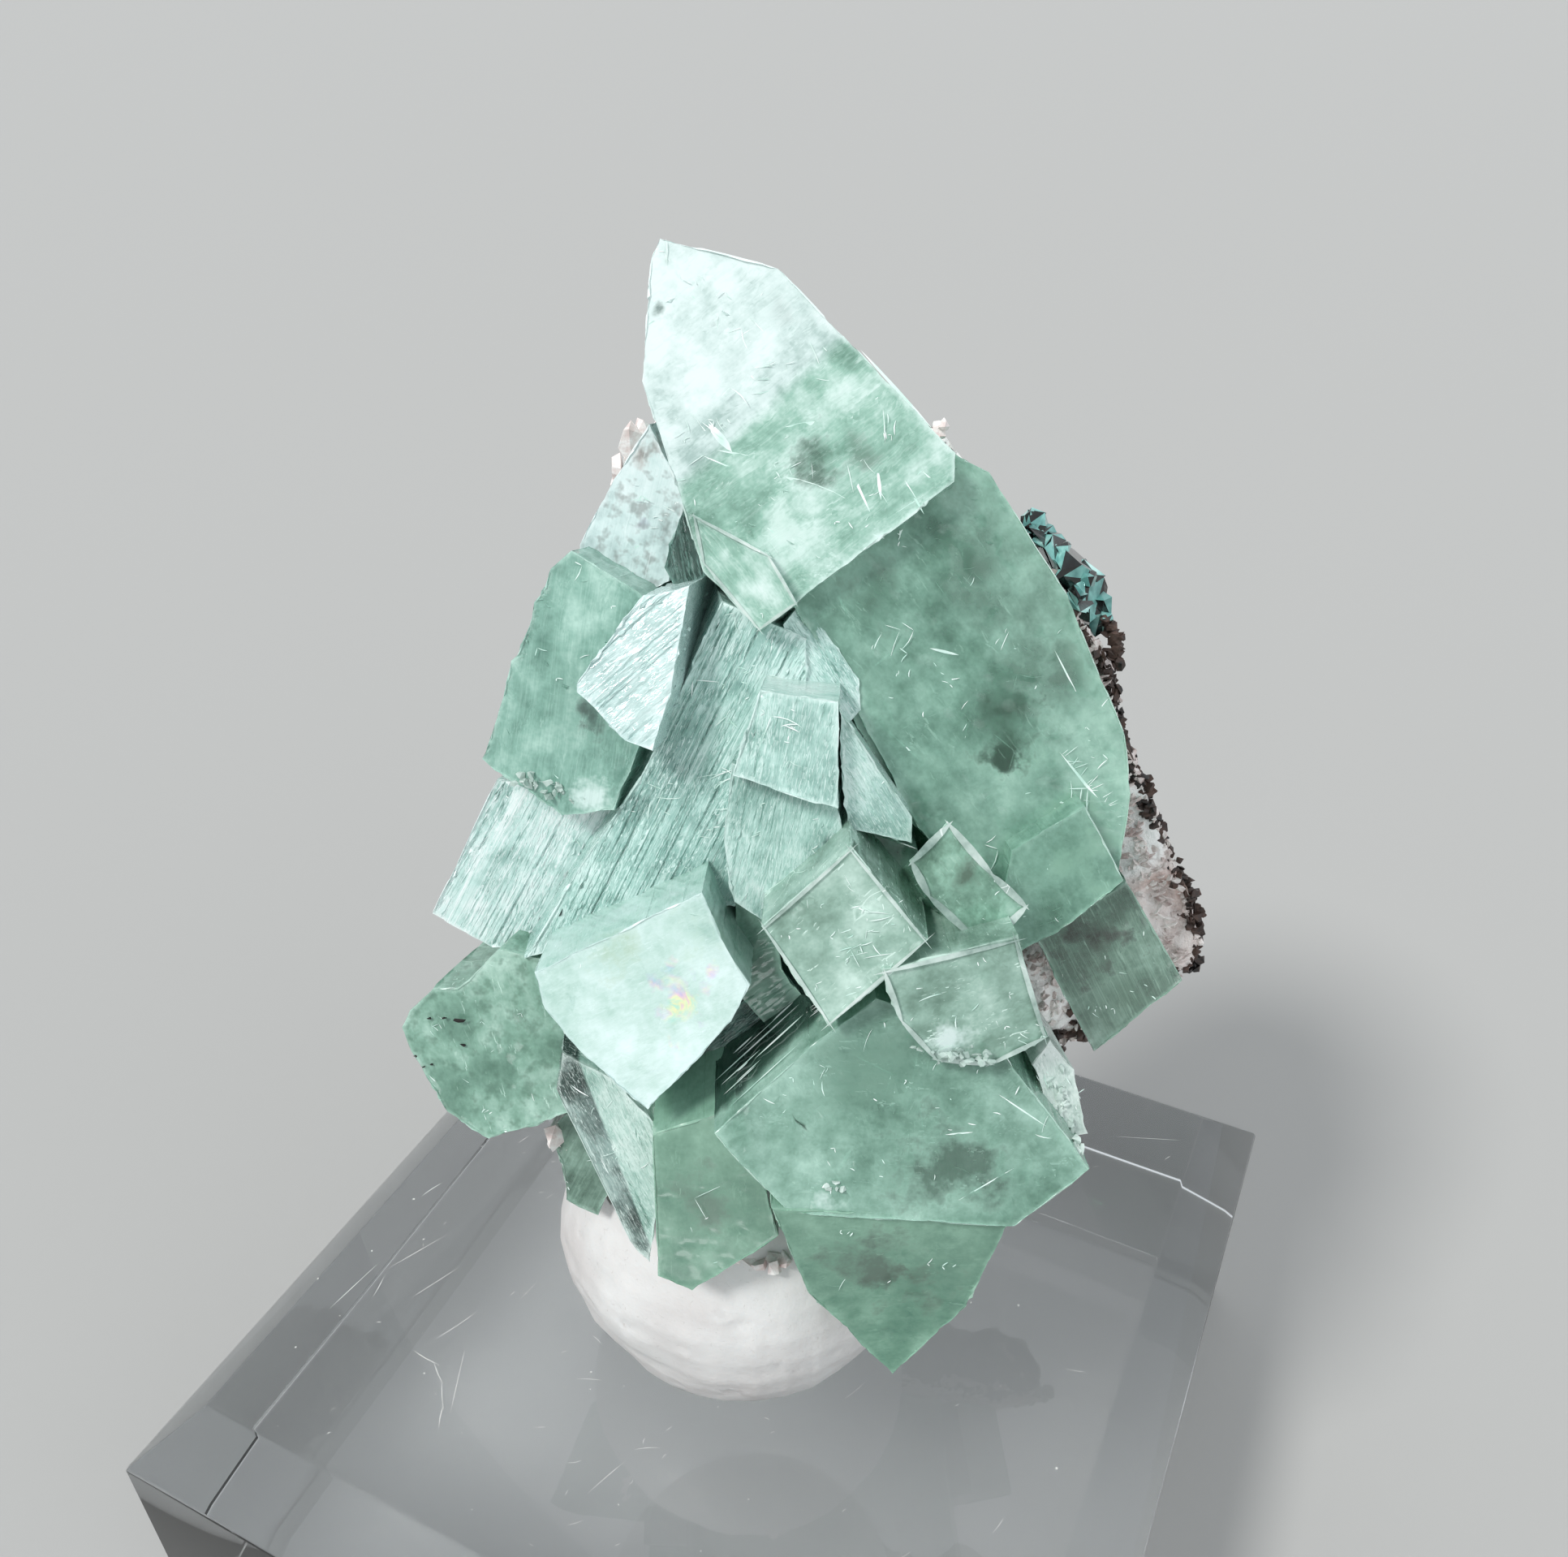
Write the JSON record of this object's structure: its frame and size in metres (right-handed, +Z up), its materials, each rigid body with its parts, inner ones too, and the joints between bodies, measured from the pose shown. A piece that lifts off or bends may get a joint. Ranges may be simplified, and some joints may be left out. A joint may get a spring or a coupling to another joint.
{
  "type": "apophyllite specimen",
  "caption": "Cluster of green pseudo-cubic apophyllite crystals on host rock, set in white putty on a clear acrylic display block.",
  "frame": {"origin": "centre of the acrylic base's underside", "axes": "+Z up; X and Y along the base's sides; the specimen's face looks between -Y and +X, 26 degrees round from -Y"},
  "size_m": [0.0636, 0.0636, 0.096],
  "materials": {
    "clear_acrylic": "clear polished acrylic",
    "white_putty": "matte putty",
    "apophyllite": "glassy to pearly crystal faces",
    "host_rock": "broken rock",
    "dark_crystal": "shiny black crystal faces"
  },
  "bodies": {
    "root": {"acrylic_base": "clear_acrylic", "mounting_putty": "white_putty", "apophyllite_crystals": "apophyllite", "host_rock": "host_rock", "dark_crystals": "dark_crystal"}
  },
  "joints": []
}
